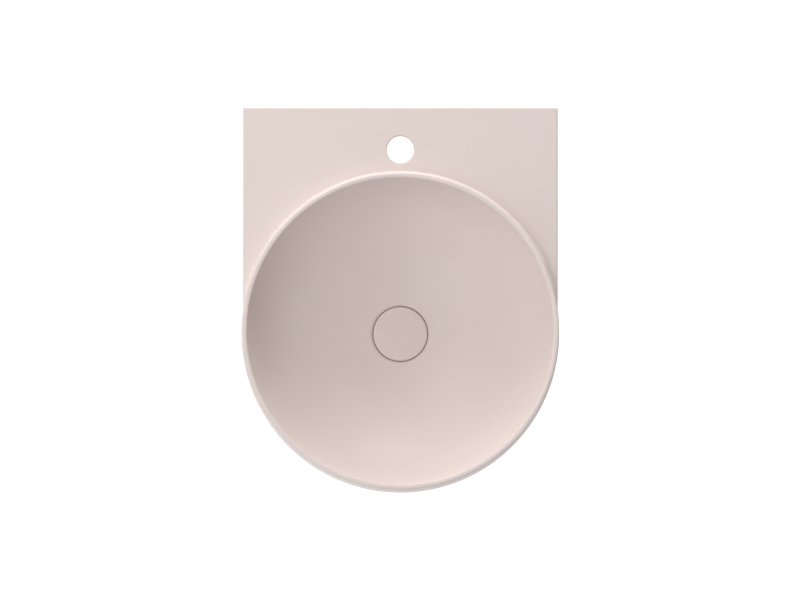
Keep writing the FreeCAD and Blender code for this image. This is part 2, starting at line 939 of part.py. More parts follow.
def main():
    """Builds every piece on the bowl's axis, moves it to its place and writes its STEP."""
    os.makedirs("parts", exist_ok=True)
    for name, build in PIECES.items():
        shape = build()
        shape.translate(Vector(0, axis_y, 0))
        print(
            f"{name}: {len(shape.Solids)} solid(s), {shape.Volume / 1000:.2f} cm3,"
            f" valid {shape.isValid()}"
        )
        shape.exportStep(f"parts/{name}.step")
    print(f"bowl depth {rim_z - floor_edge_z:.1f}, body height {rim_z - underside_z:.1f}")


main()
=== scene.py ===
"""Wall hung basin: finishes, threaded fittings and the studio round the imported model.

Metres. +Z is up, +Y points into the wall. The bowl, the waste and the plug share one
upright axis, and every new piece is turned or wound on that axis, where the frame has it.
"""

import math

import bmesh
import bpy
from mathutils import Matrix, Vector


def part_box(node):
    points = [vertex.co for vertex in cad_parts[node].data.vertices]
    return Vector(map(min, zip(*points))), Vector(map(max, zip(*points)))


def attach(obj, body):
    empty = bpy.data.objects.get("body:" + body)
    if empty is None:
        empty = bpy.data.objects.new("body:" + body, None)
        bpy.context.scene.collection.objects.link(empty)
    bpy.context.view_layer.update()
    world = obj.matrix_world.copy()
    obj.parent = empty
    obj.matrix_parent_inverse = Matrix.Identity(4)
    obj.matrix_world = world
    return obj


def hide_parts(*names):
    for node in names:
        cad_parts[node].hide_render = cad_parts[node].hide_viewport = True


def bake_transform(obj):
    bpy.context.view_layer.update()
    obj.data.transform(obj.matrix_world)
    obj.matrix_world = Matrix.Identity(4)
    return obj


bl_info = {
    "name": "Wall basin",
    "version": (1, 0, 0),
    "blender": (4, 5, 0),
    "location": "View3D > Sidebar > Wall basin",
    "description": "Dresses a wall hung basin with its waste, plug and wall bushes",
    "category": "Object",
}

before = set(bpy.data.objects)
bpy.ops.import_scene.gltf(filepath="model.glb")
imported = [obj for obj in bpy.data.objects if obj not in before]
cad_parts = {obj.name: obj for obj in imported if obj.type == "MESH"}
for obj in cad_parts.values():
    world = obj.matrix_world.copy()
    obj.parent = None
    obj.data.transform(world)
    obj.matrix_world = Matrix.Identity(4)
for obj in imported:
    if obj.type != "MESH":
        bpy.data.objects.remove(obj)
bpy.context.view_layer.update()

waste_low, waste_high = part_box("waste_body")
stud_low, stud_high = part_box("cartridge_cap")
cover_low, cover_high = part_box("plug_cover")
spring_low, spring_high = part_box("return_spring")
body_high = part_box("basin_body")[1]
washer_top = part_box("slip_washer")[1].z
spider_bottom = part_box("stud_nut")[1].z
pad_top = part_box("cover_pad")[1].z

AXIS = Vector(
    ((waste_low.x + waste_high.x) / 2, (waste_low.y + waste_high.y) / 2, 0.0)
)
SMOOTH_ANGLE = math.radians(35)
MERGE_DISTANCE = 0.00001


# ---- what a user may change --------------------------------------------------------------------
class FittingSizes(bpy.types.PropertyGroup):
    """Sizes of the turned and threaded fittings."""

    shank_radius: bpy.props.FloatProperty(
        name="Waste thread radius",
        description="Outer radius of the waste's pipe thread",
        default=0.020955,
        unit="LENGTH",
    )
    pipe_pitch: bpy.props.FloatProperty(
        name="Waste thread pitch",
        description="Rise of the waste's pipe thread in one turn",
        default=0.002309,
        unit="LENGTH",
    )
    pipe_depth: bpy.props.FloatProperty(
        name="Waste thread depth",
        description="Depth of the waste's pipe thread",
        default=0.0013,
        unit="LENGTH",
    )
    waste_bore: bpy.props.FloatProperty(
        name="Waste bore",
        description="Inner radius of the waste's tail",
        default=0.01825,
        unit="LENGTH",
    )
    stud_radius: bpy.props.FloatProperty(
        name="Stud radius",
        description="Outer radius of the cartridge's stud",
        default=0.004,
        unit="LENGTH",
    )
    stud_pitch: bpy.props.FloatProperty(
        name="Stud pitch",
        description="Rise of the stud's thread in one turn",
        default=0.00125,
        unit="LENGTH",
    )
    spring_wire: bpy.props.FloatProperty(
        name="Spring wire",
        description="Diameter of the return spring's wire",
        default=0.0009,
        unit="LENGTH",
    )
    cover_gap: bpy.props.FloatProperty(
        name="Cover gap",
        description="Gap left between the plug's cover and its recess",
        default=0.0004,
        unit="LENGTH",
    )
    edge_softness: bpy.props.FloatProperty(
        name="Edge softness",
        description="Width of the small bevel on turned metal edges",
        default=0.0003,
        unit="LENGTH",
    )


class FinishColours(bpy.types.PropertyGroup):
    """Colours of the basin's finishes."""

    glaze: bpy.props.FloatVectorProperty(
        name="Glaze",
        description="Matt glaze of the basin and the plug's cover",
        default=(0.7725, 0.6725, 0.6375),
        subtype="COLOR",
        size=3,
    )
    bare_clay: bpy.props.FloatVectorProperty(
        name="Bare clay",
        description="Unglazed ceramic against the wall",
        default=(0.66, 0.595, 0.545),
        subtype="COLOR",
        size=3,
    )
    chrome: bpy.props.FloatVectorProperty(
        name="Chrome",
        description="Plated brass of the waste and its nut",
        default=(0.80, 0.81, 0.82),
        subtype="COLOR",
        size=3,
    )
    brass: bpy.props.FloatVectorProperty(
        name="Brass",
        description="Turned brass inside the waste",
        default=(0.72, 0.53, 0.25),
        subtype="COLOR",
        size=3,
    )
    nylon: bpy.props.FloatVectorProperty(
        name="Nylon",
        description="Wall bushes and slip washer",
        default=(0.83, 0.82, 0.78),
        subtype="COLOR",
        size=3,
    )
    rubber: bpy.props.FloatVectorProperty(
        name="Rubber",
        description="Seals and gaskets",
        default=(0.022, 0.021, 0.021),
        subtype="COLOR",
        size=3,
    )
    acetal: bpy.props.FloatVectorProperty(
        name="Acetal",
        description="Plug carrier and latch rotor",
        default=(0.36, 0.37, 0.39),
        subtype="COLOR",
        size=3,
    )


class StudioSettings(bpy.types.PropertyGroup):
    """Floor, light and view of the studio."""

    floor_height: bpy.props.FloatProperty(
        name="Floor height",
        description="Height of the floor under the wall fixings",
        default=-1.9,
        unit="LENGTH",
    )
    # The floor glows in a painted pool of light of this radius, round this place, and lights the
    # basin from below.
    glow_pool_radius: bpy.props.FloatProperty(
        name="Bright floor",
        description="Radius of the brightest part of the floor, under the basin",
        default=1.05,
        unit="LENGTH",
    )
    glow_pool_shift: bpy.props.FloatVectorProperty(
        name="Bright floor's place",
        description="Middle of the brightest part of the floor, from the bowl's axis",
        default=(-0.3, 0.1),
        unit="LENGTH",
        size=2,
    )
    sky: bpy.props.FloatProperty(
        name="Sky light",
        description="Strength of the even light from all round",
        default=0.4,
    )
    light_power: bpy.props.FloatProperty(
        name="Light power",
        description="Power of a full soft light of the studio, in watts",
        default=45.0,
    )
    light_size: bpy.props.FloatProperty(
        name="Light size",
        description="Side of each square soft light",
        default=1.6,
        unit="LENGTH",
    )
    light_distance: bpy.props.FloatProperty(
        name="Light distance",
        description="Distance of the lights from the basin",
        default=3.2,
        unit="LENGTH",
    )
    view_width: bpy.props.FloatProperty(
        name="View width",
        description="Width that the camera sees",
        default=1.044,
        unit="LENGTH",
    )
    view_tilt: bpy.props.FloatProperty(
        name="View tilt",
        description="Tilt of the camera from straight down, towards the front",
        default=math.radians(1.9),
        subtype="ANGLE",
    )


# ---- finishes ----------------------------------------------------------------------------------
class Signal:
    """One number or vector that varies over a surface, with the arithmetic a finish needs."""

    def __init__(self, finish, socket):
        self.finish = finish
        self.socket = socket

    def worked(self, operation, first, second=None):
        inputs = {0: first}
        if second is not None:
            inputs[1] = second
        made = self.finish.node("ShaderNodeMath", {"operation": operation}, inputs)
        return Signal(self.finish, made.outputs[0])

    def __add__(self, other):
        return self.worked("ADD", self, other)

    def __sub__(self, other):
        return self.worked("SUBTRACT", self, other)

    def __rsub__(self, other):
        return self.worked("SUBTRACT", other, self)

    def __mul__(self, other):
        return self.worked("MULTIPLY", self, other)

    def __truediv__(self, other):
        return self.worked("DIVIDE", self, other)

    def __pow__(self, other):
        return self.worked("POWER", self, other)

    def __abs__(self):
        return self.worked("ABSOLUTE", self)

    def above(self, level, softness):
        """0 below the level and 1 above it, with a soft step between."""
        ramp = (self - level) / softness + 0.5
        held = self.finish.node(
            "ShaderNodeClamp", {}, {"Value": ramp, "Min": 0.0, "Max": 1.0}
        )
        return Signal(self.finish, held.outputs[0])


class Finish:
    """A material on the node editor's shader, built up by its methods."""

    def __init__(self, name, roughness, metallic=0.0, **constants):
        self.material = bpy.data.materials.new(name)
        self.material.use_nodes = True
        self.nodes = self.material.node_tree.nodes
        self.links = self.material.node_tree.links
        self.shader = self.nodes["Principled BSDF"]
        self.shader.inputs["Roughness"].default_value = roughness
        self.shader.inputs["Metallic"].default_value = metallic
        for label, value in constants.items():
            self.shader.inputs[label.replace("_", " ")].default_value = value
        place = self.node("ShaderNodeTexCoord", {}, {})
        self.place = Signal(self, place.outputs["Object"])
        split = self.node("ShaderNodeSeparateXYZ", {}, {0: self.place})
        self.x = Signal(self, split.outputs[0])
        self.y = Signal(self, split.outputs[1])
        self.z = Signal(self, split.outputs[2])

    def node(self, kind, settings, inputs):
        """One node: its type, its settings, then the values or links of its sockets."""
        made = self.nodes.new(kind)
        for label, value in settings.items():
            setattr(made, label, value)
        for label, value in inputs.items():
            if isinstance(value, Signal):
                self.links.new(value.socket, made.inputs[label])
            else:
                made.inputs[label].default_value = value
        return made

    def noise(self, grain, detail, place=None, roughness=0.5):
        """Noise from 0 to 1 whose grain is that long, in metres."""
        made = self.node(
            "ShaderNodeTexNoise",
            {},
            {
                "Vector": self.place if place is None else place,
                "Scale": 1.0 / grain,
                "Detail": detail,
                "Roughness": roughness,
            },
        )
        return Signal(self, made.outputs[0])

    def joined(self, x, y, z):
        """A vector from three numbers or signals."""
        made = self.node("ShaderNodeCombineXYZ", {}, {0: x, 1: y, 2: z})
        return Signal(self, made.outputs[0])

    def blend(self, share, first, second):
        """Mix of two colours by a signal."""
        made = self.node(
            "ShaderNodeMix", {"data_type": "RGBA"}, {0: share, 6: first, 7: second}
        )
        return Signal(self, made.outputs[2])

    def from_axis(self, right=0.0, back=0.0):
        """Distance from the axis of the bowl and the waste, or from a line beside it."""
        x = self.x - (AXIS.x + right)
        y = self.y - (AXIS.y + back)
        return (x * x + y * y) ** 0.5

    def colour(self, signal):
        self.links.new(signal.socket, self.shader.inputs["Base Color"])

    def rough(self, signal):
        self.links.new(signal.socket, self.shader.inputs["Roughness"])

    def glow(self, signal, strength):
        self.links.new(signal.socket, self.shader.inputs["Emission Color"])
        self.shader.inputs["Emission Strength"].default_value = strength

    def relief(self, height):
        """Bump from a height in metres."""
        made = self.node(
            "ShaderNodeBump", {}, {"Strength": 1.0, "Distance": 1.0, "Height": height}
        )
        self.links.new(made.outputs[0], self.shader.inputs["Normal"])


def tone(colour, factor):
    """A colour made lighter or darker, as a node's four numbers."""
    return tuple(min(1.0, channel * factor) for channel in colour) + (1.0,)


def grey(level):
    """A grey as a node's four numbers."""
    return (level, level, level, 1.0)


def matt_glaze(colours):
    """Silky matt glaze with a painted highlight along the rim's outer edge, where the glaze also
    thins, and bare at the wall.
    """
    rim_edge_inset = 0.0008
    rim_edge_width = 0.0016
    rim_edge_depth = 0.0024
    bare_depth = 0.0002
    speck_share = 0.35
    thinning_highlight_share = 0.35
    finish = Finish("matt_glaze", roughness=0.46, Specular_IOR_Level=0.5)
    drift = finish.noise(grain=0.09, detail=3.0).above(level=0.5, softness=0.5)
    speck = finish.noise(grain=0.0011, detail=1.0).above(level=0.69, softness=0.06)
    clouded = finish.blend(drift, tone(colours.glaze, 0.985), tone(colours.glaze, 1.012))
    specked = finish.blend(speck * speck_share, clouded, tone(colours.glaze, 0.955))
    # Painted highlight: a paler band of glaze along the rim's outer edge, partly the glaze
    # thinning there.
    edge = finish.from_axis() - (body_high.x - rim_edge_inset)
    near_top = finish.z.above(body_high.z - rim_edge_depth, softness=0.002)
    thinning_and_highlight = (1 - (abs(edge) / rim_edge_width).above(level=0.5, softness=1.0)) * near_top
    thinned_and_highlit = finish.blend(thinning_and_highlight * thinning_highlight_share, specked, tone(colours.glaze, 1.10))
    wobble = finish.noise(grain=0.02, detail=2.0) * 0.0012
    bare = (finish.y + wobble).above(body_high.y - bare_depth, softness=0.0003)
    grit = finish.noise(grain=0.0016, detail=3.0)
    clay = finish.blend(grit, tone(colours.bare_clay, 0.9), tone(colours.bare_clay, 1.07))
    finish.colour(finish.blend(bare, thinned_and_highlit, clay))
    cloud = finish.noise(grain=0.035, detail=2.0)
    glazed_roughness = cloud * 0.06 + 0.36
    clay_roughness = 0.88
    finish.rough(glazed_roughness * (1 - bare) + bare * clay_roughness)
    peel = finish.noise(grain=0.0045, detail=2.0) * 0.000011
    silk = finish.noise(grain=0.0006, detail=1.0) * 0.0000022
    sand = finish.noise(grain=0.0005, detail=2.0) * 0.00006 * bare
    finish.relief(peel + silk + sand)
    return finish.material


def plated_chrome(colours):
    """Bright plating with faint polishing rings and dried water marks."""
    finish = Finish("plated_chrome", roughness=0.1, metallic=1.0)
    along = finish.joined(finish.from_axis(), 0.0, finish.z * 0.6)
    rings = finish.noise(grain=0.0007, detail=2.0, place=along)
    drops = finish.noise(grain=0.0035, detail=5.0, roughness=0.7)
    marks = drops.above(level=0.6, softness=0.2)
    finish.colour(finish.blend(marks, tone(colours.chrome, 1.0), tone(colours.chrome, 0.94)))
    finish.rough(rings * 0.05 + marks * 0.07 + 0.08)
    finish.relief(rings * 0.0000035)
    return finish.material


def turned_brass(colours):
    """Brass straight from the lathe: fine turning rings and patches of tarnish."""
    finish = Finish("turned_brass", roughness=0.3, metallic=1.0)
    along = finish.joined(finish.from_axis(), 0.0, finish.z)
    rings = finish.noise(grain=0.00035, detail=1.0, place=along)
    patches = finish.noise(grain=0.004, detail=4.0, roughness=0.6)
    tarnish = patches.above(level=0.52, softness=0.25)
    dull = (0.42, 0.29, 0.13, 1.0)
    finish.colour(finish.blend(tarnish * 0.45, tone(colours.brass, 1.0), dull))
    finish.rough(rings * 0.12 + tarnish * 0.18 + 0.2)
    finish.relief(rings * 0.000009)
    return finish.material


def seal_rubber(colours):
    """Moulded black rubber with a dry grey bloom."""
    finish = Finish("seal_rubber", roughness=0.7, Specular_IOR_Level=0.4)
    bloom = finish.noise(grain=0.009, detail=4.0, roughness=0.6).above(level=0.5, softness=0.3)
    bloomed = (0.055, 0.053, 0.051, 1.0)
    finish.colour(finish.blend(bloom, tone(colours.rubber, 1.0), bloomed))
    finish.rough(bloom * 0.14 + 0.62)
    finish.relief(finish.noise(grain=0.0005, detail=2.0) * 0.00002)
    return finish.material


def moulded_nylon(colours):
    """Natural nylon, a little cloudy, with a spark-eroded grain."""
    finish = Finish("moulded_nylon", roughness=0.5, Subsurface_Weight=0.05)
    flow = finish.noise(grain=0.012, detail=3.0).above(level=0.5, softness=0.4)
    cream = (0.78, 0.755, 0.68, 1.0)
    finish.colour(finish.blend(flow * 0.6, tone(colours.nylon, 1.0), cream))
    finish.rough(flow * 0.1 + 0.42)
    finish.relief(finish.noise(grain=0.0007, detail=2.0) * 0.000018)
    return finish.material


def moulded_acetal(colours):
    """Grey acetal with faint flow lines round the gate."""
    finish = Finish("moulded_acetal", roughness=0.45)
    flow = finish.joined(finish.from_axis(), finish.z * 3.0, finish.x * 0.2)
    streak = finish.noise(grain=0.002, detail=3.0, place=flow)
    finish.colour(finish.blend(streak, tone(colours.acetal, 0.9), tone(colours.acetal, 1.08)))
    finish.rough(streak * 0.12 + 0.38)
    finish.relief(finish.noise(grain=0.0006, detail=2.0) * 0.000014)
    return finish.material


def bonding_silicone():
    """Cloudy silicone pad."""
    finish = Finish("bonding_silicone", roughness=0.35, Subsurface_Weight=0.1)
    haze = finish.noise(grain=0.005, detail=3.0)
    finish.colour(finish.blend(haze, (0.70, 0.70, 0.68, 1.0), (0.80, 0.80, 0.79, 1.0)))
    finish.rough(haze * 0.15 + 0.3)
    finish.relief(finish.noise(grain=0.0012, detail=2.0) * 0.00003)
    return finish.material


def spring_steel():
    """Drawn steel wire with long drawing marks and a trace of oil."""
    finish = Finish("spring_steel", roughness=0.3, metallic=1.0)
    along = finish.joined(finish.from_axis(), 0.0, finish.z)
    drawn = finish.noise(grain=0.0004, detail=2.0, place=along)
    oil = finish.noise(grain=0.003, detail=3.0).above(level=0.5, softness=0.3)
    finish.colour(finish.blend(oil, (0.58, 0.59, 0.61, 1.0), (0.47, 0.46, 0.44, 1.0)))
    finish.rough(drawn * 0.15 + 0.22)
    finish.relief(drawn * 0.000006)
    return finish.material


def dress(node, material):
    """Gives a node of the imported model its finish."""
    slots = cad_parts[node].data.materials
    slots.clear()
    slots.append(material)


# ---- modelling by hand -------------------------------------------------------------------------
def clear_selection():
    """Leaves nothing selected, so an operator acts on the new piece alone."""
    if bpy.context.object is not None and bpy.context.object.mode != "OBJECT":
        bpy.ops.object.mode_set(mode="OBJECT")
    bpy.ops.object.select_all(action="DESELECT")


def begin_loop(vertices, radius, height):
    """A flat ring of edges round the axis, as the start of a new piece."""
    clear_selection()
    bpy.ops.mesh.primitive_circle_add(
        vertices=vertices, radius=radius, location=(AXIS.x, AXIS.y, height)
    )
    return bpy.context.object


def close_ends():
    """Puts a face on each open end of the piece in edit mode and turns all faces outwards."""
    bpy.ops.mesh.select_mode(type="EDGE")
    bpy.ops.mesh.select_all(action="DESELECT")
    bpy.ops.mesh.select_non_manifold()
    bpy.ops.mesh.edge_face_add()
    bpy.ops.mesh.select_all(action="SELECT")
    bpy.ops.mesh.normals_make_consistent(inside=False)


def wind(section, rise, turns, steps):
    """Winds a section round the axis, rising so far in each turn, and applies it."""
    screw = section.modifiers.new("wound", "SCREW")
    screw.axis = "Z"
    screw.angle = 2 * math.pi
    screw.screw_offset = rise
    screw.iterations = turns
    screw.steps = steps
    screw.render_steps = steps
    bpy.ops.object.modifier_apply(modifier=screw.name)
    bpy.ops.object.transform_apply(location=True, rotation=True, scale=True)


def turn_on_lathe(corners, sides, bored=True):
    """A section of (radius, height) corners drawn round the axis, ring by ring.

    A bored piece closes the section on itself. A solid one has a flat face at each end.
    """
    radius, height = corners[0]
    piece = begin_loop(sides, radius, height)
    bpy.ops.object.mode_set(mode="EDIT")
    bpy.ops.mesh.select_mode(type="EDGE")
    bpy.ops.mesh.select_all(action="SELECT")
    onward = list(corners[1:]) + ([corners[0]] if bored else [])
    for next_radius, next_height in onward:
        bpy.ops.mesh.extrude_edges_move(
            TRANSFORM_OT_translate={"value": (0, 0, next_height - height)}
        )
        growth = next_radius / radius
        bpy.ops.transform.resize(
            value=(growth, growth, 1), center_override=(AXIS.x, AXIS.y, next_height)
        )
        radius, height = next_radius, next_height
    bpy.ops.mesh.select_all(action="SELECT")
    bpy.ops.mesh.remove_doubles(threshold=MERGE_DISTANCE)
    if bored:
        bpy.ops.mesh.normals_make_consistent(inside=False)
    else:
        close_ends()
    bpy.ops.object.mode_set(mode="OBJECT")
    return piece


def soften(piece, width):
    """Small bevel of two segments on every hard edge of a piece."""
    bevel = piece.modifiers.new("edge", "BEVEL")
    bevel.width = width
    bevel.segments = 2
    bevel.limit_method = "ANGLE"
    bevel.angle_limit = SMOOTH_ANGLE
    bevel.use_clamp_overlap = True
    bpy.context.view_layer.objects.active = piece
    bpy.ops.object.modifier_apply(modifier=bevel.name)


# Of a thread's ridge: half its width at the root in pitches, the share of that which is flat at
# the crest, its height in thread depths, how deep its ends sink in thread depths, and how far
# round that sinking reaches, in crest radii.
RIDGE_HALF = 0.42
RIDGE_FLAT = 0.22
RIDGE_HEIGHT = 1.35
RUN_OUT_DEPTH = 1.4
RUN_OUT_REACH = 0.9


def thread_ridge(crest, depth, pitch, bottom, top, steps):
    """Ridge of a screw thread round the axis, run out into the core at both ends."""
    clear_selection()
    half = pitch * RIDGE_HALF
    bpy.ops.mesh.primitive_plane_add(size=1, location=(AXIS.x, AXIS.y, 0))
    ridge = bpy.context.object
    bpy.ops.object.mode_set(mode="EDIT")
    mesh = bmesh.from_edit_mesh(ridge.data)
    root = crest - RIDGE_HEIGHT * depth
    flat = half * RIDGE_FLAT
    section = [
        (root, bottom - half),
        (crest, bottom - flat),
        (crest, bottom + flat),
        (root, bottom + half),
    ]
    loop = [corner.vert for corner in mesh.faces[:][0].loops]
    for vertex, (radius, height) in zip(loop, section):
        vertex.co = (radius, 0, height)
    bmesh.update_edit_mesh(ridge.data)
    bpy.ops.mesh.select_all(action="SELECT")
    bpy.ops.mesh.delete(type="ONLY_FACE")
    bpy.ops.object.mode_set(mode="OBJECT")
    whole = max(1, math.floor((top - bottom) / pitch))
    wind(ridge, pitch, whole, steps)
    bpy.ops.object.mode_set(mode="EDIT")
    close_ends()
    for level in (bottom, bottom + whole * pitch):
        run_out(ridge, crest, depth, level, half)
    bpy.ops.object.mode_set(mode="OBJECT")
    return ridge


def run_out(ridge, crest, depth, level, half):
    """Sinks the end of a thread's ridge into its core, in edit mode."""
    bpy.ops.mesh.select_mode(type="VERT")
    bpy.ops.mesh.select_all(action="DESELECT")
    mesh = bmesh.from_edit_mesh(ridge.data)
    for vertex in mesh.verts:
        at_start = vertex.co.x > AXIS.x and abs(vertex.co.y - AXIS.y) < MERGE_DISTANCE
        if at_start and abs(vertex.co.z - level) < half + MERGE_DISTANCE:
            vertex.select_set(True)
    mesh.select_flush_mode()
    bmesh.update_edit_mesh(ridge.data)
    shrink = (crest - RUN_OUT_DEPTH * depth) / crest
    bpy.ops.transform.resize(
        value=(shrink, shrink, 1),
        center_override=(AXIS.x, AXIS.y, level),
        use_proportional_edit=True,
        use_proportional_connected=True,
        proportional_edit_falloff="SMOOTH",
        proportional_size=crest * RUN_OUT_REACH,
    )


def wound_spring(reach, wire, low, high, turns):
    """Coil of round wire round the axis, between two heights and out to a radius."""
    coil = begin_loop(vertices=12, radius=wire / 2, height=0)
    bpy.ops.object.mode_set(mode="EDIT")
    mesh = bmesh.from_edit_mesh(coil.data)
    for vertex in mesh.verts:
        out, up, _ = vertex.co
        vertex.co = (reach - wire / 2 + out, 0, low + wire / 2 + up)
    bmesh.update_edit_mesh(coil.data)
    bpy.ops.object.mode_set(mode="OBJECT")
    wind(coil, (high - low - wire) / turns, turns, steps=36)
    bpy.ops.object.mode_set(mode="EDIT")
    close_ends()
    bpy.ops.object.mode_set(mode="OBJECT")
    return coil


def joined_piece(name, parts):
    """Joins the parts of a fitting into one piece at the origin, under its own name."""
    clear_selection()
    for part in parts:
        part.select_set(True)
    bpy.context.view_layer.objects.active = parts[0]
    if len(parts) > 1:
        bpy.ops.object.join()
    piece = bpy.context.object
    bpy.ops.object.transform_apply(location=True, rotation=True, scale=True)
    bpy.ops.object.shade_smooth_by_angle(angle=SMOOTH_ANGLE)
    piece.name = name
    piece.data.name = name
    return piece


def hand_over(piece, body, node, material):
    """Gives a new piece its finish and its body, and hides the node that it stands for."""
    piece.data.materials.clear()
    piece.data.materials.append(material)
    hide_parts(node)
    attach(piece, body)


def select_faces(piece, direction):
    """Selects, in edit mode, the faces of a piece that look nearly in a direction."""
    nearly = 0.9
    bpy.ops.mesh.select_all(action="DESELECT")
    mesh = bmesh.from_edit_mesh(piece.data)
    for face in mesh.faces:
        if face.normal.dot(Vector(direction)) > nearly:
            face.select_set(True)
    bmesh.update_edit_mesh(piece.data)


def spider_spoke(inner, outer, width, bottom, top):
    """One spoke of the waste's spider, along +X from the axis, wider at its root than on top."""
    root_growth = 1.35
    top_growth = 0.6
    clear_selection()
    middle = (inner + outer) / 2
    height = top - bottom
    bpy.ops.mesh.primitive_cube_add(
        size=1, location=(AXIS.x + middle, AXIS.y, (top + bottom) / 2)
    )
    spoke = bpy.context.object
    bpy.ops.object.mode_set(mode="EDIT")
    bpy.ops.mesh.select_all(action="SELECT")
    bpy.ops.transform.resize(value=(outer - inner, width, height))
    select_faces(spoke, (-1, 0, 0))
    bpy.ops.transform.resize(value=(1, root_growth, 1))
    select_faces(spoke, (0, 0, 1))
    bpy.ops.transform.resize(value=(1, top_growth, 1))
    bpy.ops.object.mode_set(mode="OBJECT")
    return spoke


def copied_round(part, count):
    """The part and its copies, each with its own mesh, evenly set round the axis."""
    parts = [part]
    for number in range(1, count):
        clear_selection()
        part.select_set(True)
        bpy.context.view_layer.objects.active = part
        bpy.ops.object.duplicate(linked=False)
        copy = bpy.context.object
        bpy.ops.object.mode_set(mode="EDIT")
        bpy.ops.mesh.select_all(action="SELECT")
        bpy.ops.transform.rotate(
            value=2 * math.pi * number / count,
            orient_axis="Z",
            center_override=(AXIS.x, AXIS.y, 0),
        )
        bpy.ops.object.mode_set(mode="OBJECT")
        parts.append(copy)
    return parts


def quarter_round(centre_radius, centre_height, size, start, steps):
    """Corners of a quarter of a circle in a section, clockwise from a start angle in degrees."""
    corners = []
    for step in range(steps + 1):
        angle = math.radians(start - 90 * step / steps)
        corners.append(
            (centre_radius + size * math.cos(angle), centre_height + size * math.sin(angle))
        )
    return corners


def cast_cover(edge):
    """Crowned ceramic cover with soft edges and a pocket for its carrier underneath."""
    crown = 0.0008
    brow = 0.0026
    foot = 0.0013
    pole = 0.003
    ring_step = 0.004
    pocket_wall = 0.005
    pocket = cover_high.x - AXIS.x - pocket_wall
    crown_edge = edge - brow
    shoulder = cover_high.z - crown
    section = []
    reach = pole
    while reach < crown_edge:
        section.append((reach, cover_high.z - crown * (reach / crown_edge) ** 2))
        reach += ring_step
    section += quarter_round(crown_edge, shoulder - brow, brow, start=90, steps=8)
    section += quarter_round(edge - foot, cover_low.z + foot, foot, start=0, steps=5)
    section += [(pocket, cover_low.z), (pocket, pad_top), (pole, pad_top)]
    cover = turn_on_lathe(section, sides=128, bored=False)
    soften(cover, width=0.0004)
    return cover


# ---- studio ------------------------------------------------------------------------------------
# name, bearing round the basin and height in degrees, share of full power, mirrored in surfaces
LIGHTS = (
    ("back_wash", 90, 10, 1.55, False),
    ("left_wash", 180, 10, 0.52, False),
    ("corner_light", 135, 60, 0.39, True),
    ("left_light", 225, 60, 0.37, True),
    ("edge_light", 90, 25, 0.36, True),
    ("front_light", 250, 25, 0.25, True),
)


def hang_light(settings, name, bearing, height, share, mirrored):
    """A soft light that looks at the basin. One that isn't mirrored lights without glare."""
    target = Vector((0, -0.25, 0.05))
    across = math.cos(math.radians(height))
    gaze = Vector(
        (
            -math.cos(math.radians(bearing)) * across,
            -math.sin(math.radians(bearing)) * across,
            -math.sin(math.radians(height)),
        )
    )
    bpy.ops.object.light_add(
        type="AREA",
        location=target - settings.light_distance * gaze,
        rotation=gaze.to_track_quat("-Z", "Y").to_euler(),
    )
    lamp = bpy.context.object
    lamp.name = name
    lamp.data.shape = "SQUARE"
    lamp.data.size = settings.light_size
    lamp.data.energy = settings.light_power * share
    lamp.visible_camera = False
    lamp.visible_glossy = mirrored


def place_camera(scene, settings):
    """Camera that looks almost straight down on the basin."""
    distance = 1.8
    target = Vector((-0.0004, -0.2508, 0.05))
    back = Vector((0, -math.sin(settings.view_tilt), math.cos(settings.view_tilt)))
    bpy.ops.object.camera_add(
        location=target + distance * back, rotation=(settings.view_tilt, 0, 0)
    )
    camera = bpy.context.object
    camera.name = "camera"
    camera.data.type = "ORTHO"
    camera.data.ortho_scale = settings.view_width
    scene.camera = camera


# ---- operators ---------------------------------------------------------------------------------
class BASIN_OT_glaze(bpy.types.Operator):
    """Glaze the ceramic body and cast the plug's crowned cover"""

    bl_idname = "basin.glaze"
    bl_label = "Glaze the ceramic"

    def execute(self, context):
        glaze = matt_glaze(context.scene.basin_colours)
        dress("basin_body", glaze)
        gap_in_solids = 0.0008
        recess = cover_high.x - AXIS.x + gap_in_solids
        cover = cast_cover(recess - context.scene.basin_sizes.cover_gap)
        piece = joined_piece("glazed_cover", [cover])
        hand_over(piece, "plug", "plug_cover", glaze)
        return {"FINISHED"}


